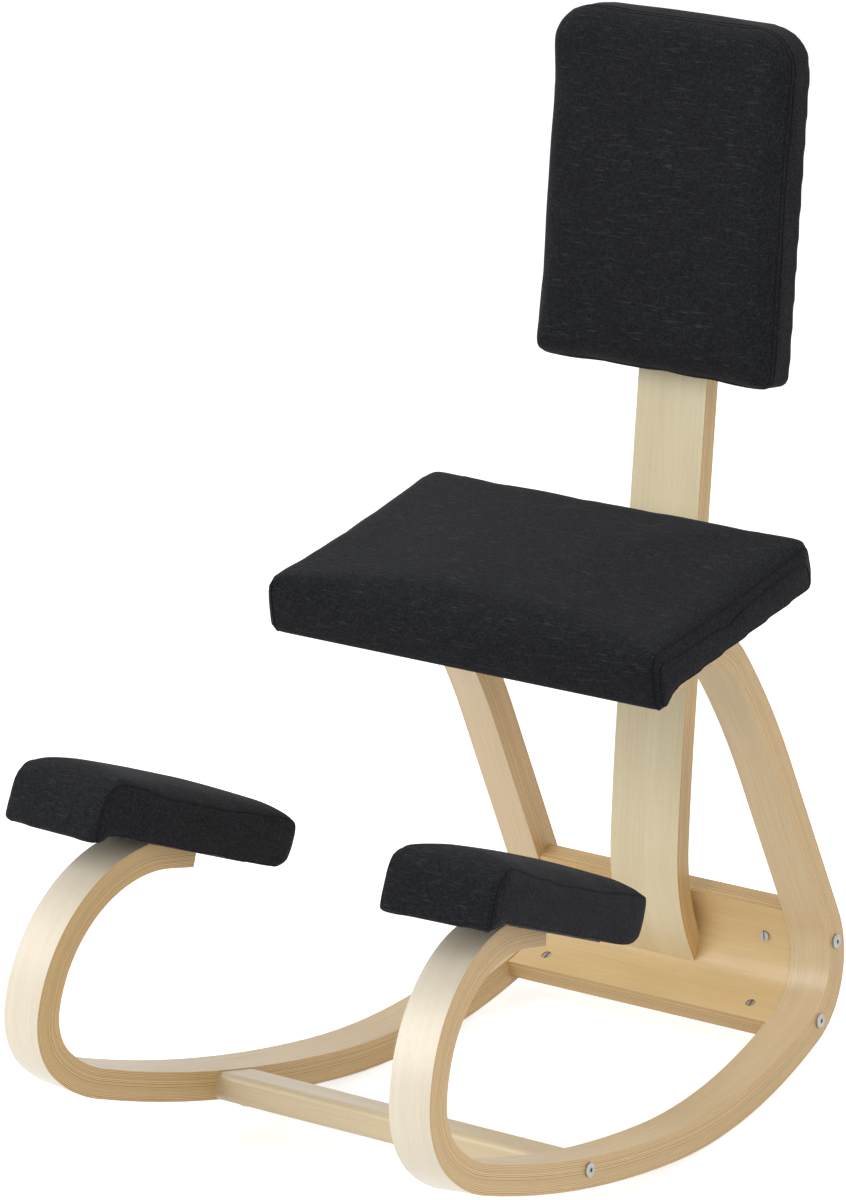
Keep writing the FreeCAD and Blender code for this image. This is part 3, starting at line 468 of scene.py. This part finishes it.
weave.links.new(calculated(weave, "MULTIPLY_ADD", relief, 0.2, 0.78), weave_out.inputs["Roughness"])
weave.links.new(calculated(weave, "ADD", relief, calculated(weave, "MULTIPLY", mask, 0.3)),
                weave_out.inputs["Height"])


def woven(name, yarn, slub):
    material = bpy.data.materials.new(name)
    material.use_nodes = True
    inner = material.node_tree
    surface = inner.nodes["Principled BSDF"]
    surface.inputs["Sheen Weight"].default_value = 0.02
    surface.inputs["Sheen Roughness"].default_value = 0.5
    surface.inputs["Specular IOR Level"].default_value = 0.14
    position = inner.nodes.new("ShaderNodeTexCoord")
    pattern = inner.nodes.new("ShaderNodeGroup")
    pattern.node_tree = weave
    pattern.inputs["Yarn"].default_value = (*yarn, 1)
    pattern.inputs["Slub"].default_value = (*slub, 1)
    inner.links.new(position.outputs["Object"], pattern.inputs["Place"])
    inner.links.new(pattern.outputs["Color"], surface.inputs["Base Color"])
    inner.links.new(pattern.outputs["Roughness"], surface.inputs["Roughness"])
    bump = inner.nodes.new("ShaderNodeBump")
    bump.inputs["Strength"].default_value = 0.9
    bump.inputs["Distance"].default_value = 0.0011
    inner.links.new(pattern.outputs["Height"], bump.inputs["Height"])
    inner.links.new(bump.outputs[0], surface.inputs["Normal"])
    return material


charcoal = woven("charcoal cloth", (0.0096, 0.0102, 0.0126), (0.052, 0.055, 0.064))
thread = woven("charcoal thread", (0.005, 0.005, 0.006), (0.012, 0.012, 0.013))


SKIN_GRID = 0.005
CLOTH_FRAMES = 20
HELD_HEIGHT = 0.03


def upholster(name, cushion_frame, room, pressure):
    """Sewn cover over foam and board in one skin, blown up a little as cloth by up to 'room'."""
    bpy.ops.object.select_all(action="DESELECT")
    for part in ("_board", "_foam"):
        copy = plain_copy(nodes[name + part], name + part + "_skin")
        copy.select_set(True)
        bpy.context.view_layer.objects.active = copy
    bpy.ops.object.join()
    cushion = bpy.context.object
    cushion.name = name + "_cushion"
    cushion.data.remesh_voxel_size = SKIN_GRID
    cushion.data.remesh_voxel_adaptivity = 0
    bpy.ops.object.voxel_remesh()
    start = [vertex.co.copy() for vertex in cushion.data.vertices]
    cloth = cushion.modifiers.new("cover", "CLOTH")
    cloth.settings.quality = 5
    cloth.settings.mass = 0.3
    cloth.settings.tension_stiffness = 12
    cloth.settings.compression_stiffness = 12
    cloth.settings.bending_stiffness = 0.6
    cloth.settings.use_pressure = True
    cloth.settings.uniform_pressure_force = pressure
    cloth.settings.effector_weights.gravity = 0
    for step in range(1, CLOTH_FRAMES + 1):
        bpy.context.scene.frame_set(step)
    bpy.ops.object.modifier_apply(modifier="cover")
    bpy.context.scene.frame_set(1)
    to_cushion = cushion_frame.inverted()
    for vertex, first in zip(cushion.data.vertices, start):
        height = (to_cushion @ first).z
        limit = room * min(1.0, max(0.0, height / HELD_HEIGHT))
        shift = vertex.co - first
        if shift.length > limit:
            shift *= limit / shift.length
        vertex.co = first + shift
    smoothing = cushion.modifiers.new("eased", "SMOOTH")
    smoothing.iterations = 14
    smoothing.factor = 0.5
    bpy.ops.object.modifier_apply(modifier="eased")
    finer = cushion.modifiers.new("finer", "SUBSURF")
    finer.levels = 1
    finer.render_levels = 1
    bpy.ops.object.modifier_apply(modifier="finer")
    bpy.ops.object.shade_smooth()
    dressed(cushion, charcoal)
    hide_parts(name + "_foam", name + "_cover", name + "_board")
    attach(cushion, "root")
    return cushion


def seam(cushion, name, cushion_frame, point, normal, thickness):
    """Line of stitching where a plane cuts the cover."""
    bpy.ops.object.select_all(action="DESELECT")
    stitch = plain_copy(cushion, name)
    stitch.select_set(True)
    bpy.context.view_layer.objects.active = stitch
    bpy.ops.object.mode_set(mode="EDIT")
    bpy.ops.mesh.select_all(action="SELECT")
    bpy.ops.mesh.bisect(plane_co=cushion_frame @ Vector(point),
                        plane_no=cushion_frame.to_3x3() @ Vector(normal),
                        clear_inner=True, clear_outer=True)
    bpy.ops.object.mode_set(mode="OBJECT")
    bpy.ops.object.convert(target="CURVE")
    stitch.data.bevel_depth = thickness
    stitch.data.bevel_resolution = 1
    bpy.ops.object.convert(target="MESH")
    stitch = bpy.context.object
    bpy.ops.object.shade_smooth()
    dressed(stitch, thread)
    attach(stitch, "root")


# Seat: foam on a plywood board in a boxed cover, seamed along both sides.
seat_frame = chair_frame @ Matrix.Translation((0, 0.17541, 0.50192)) @ turned(11.8, "X")
SEAT_HALF_WIDTH = 0.232
seat = upholster("seat", seat_frame, 0.0045, 2.5)
for side, label in ((-1, "left"), (1, "right")):
    for step, inset in enumerate((0.004, 0.010)):
        seam(seat, "seat_%s_seam_%d" % (label, step + 1), seat_frame,
             (side * (SEAT_HALF_WIDTH - inset), 0, 0), (1, 0, 0), 0.0009)

# Backrest: a thinner cushion with rounded upper corners, seamed round its edge.
back_frame = chair_frame @ Matrix.Translation((0, 0.40949, 0.69227)) @ turned(84.4, "X")
back = upholster("backrest", back_frame, 0.004, 2.5)
for step, height in enumerate((0.031, 0.036)):
    seam(back, "backrest_seam_%d" % (step + 1), back_frame, (0, 0, height), (0, 0, 1), 0.0006)

# Knee pads: short thick cushions that slope down towards the back, seamed along both sides.
for side, label in ((-1, "left"), (1, "right")):
    pad_frame = (chair_frame @ Matrix.Translation((0.20201 * side, -0.11356, 0.30143))
                 @ turned(TOE_OUT * side, "Z") @ turned(-21, "X")
                 @ Matrix.Translation((0.006 * side, 0, 0)))
    pad = upholster(label + "_knee_pad", pad_frame, 0.004, 2.5)
    for number, edge in enumerate((-1, 1)):
        seam(pad, "%s_knee_pad_seam_%d" % (label, number + 1), pad_frame,
             (edge * 0.0575, 0, 0), (1, 0, 0), 0.0007)

# Undersides: thin black cloth stapled over the boards, slack enough to wrinkle.
dust_cloth = bpy.data.materials.new("dust cloth")
dust_cloth.use_nodes = True
dust_tree = dust_cloth.node_tree
dust_surface = dust_tree.nodes["Principled BSDF"]
dust_surface.inputs["Sheen Weight"].default_value = 0.2
dust_place = dust_tree.nodes.new("ShaderNodeTexCoord")
folds = stretched_noise(dust_tree, dust_place.outputs["Object"], (1, 0.5, 1), 42, 3.0)
mesh_like = stretched_noise(dust_tree, dust_place.outputs["Object"], (1, 1, 1), 1500, 1.0)
dust_colour = ramp(dust_tree, mesh_like, [(0.35, (0.012, 0.012, 0.013)), (0.65, (0.03, 0.03, 0.032))])
dust_tree.links.new(dust_colour, dust_surface.inputs["Base Color"])
dust_tree.links.new(calculated(dust_tree, "MULTIPLY_ADD", folds, 0.3, 0.35),
                    dust_surface.inputs["Roughness"])
dust_bump = dust_tree.nodes.new("ShaderNodeBump")
dust_bump.inputs["Distance"].default_value = 0.006
dust_tree.links.new(folds, dust_bump.inputs["Height"])
dust_tree.links.new(dust_bump.outputs[0], dust_surface.inputs["Normal"])
for name, node in nodes.items():
    if name.endswith("dust_cover"):
        dressed(node, dust_cloth)
    if name == "crossbar_dowels":
        dressed(node, bar_face)

bpy.context.view_layer.update()
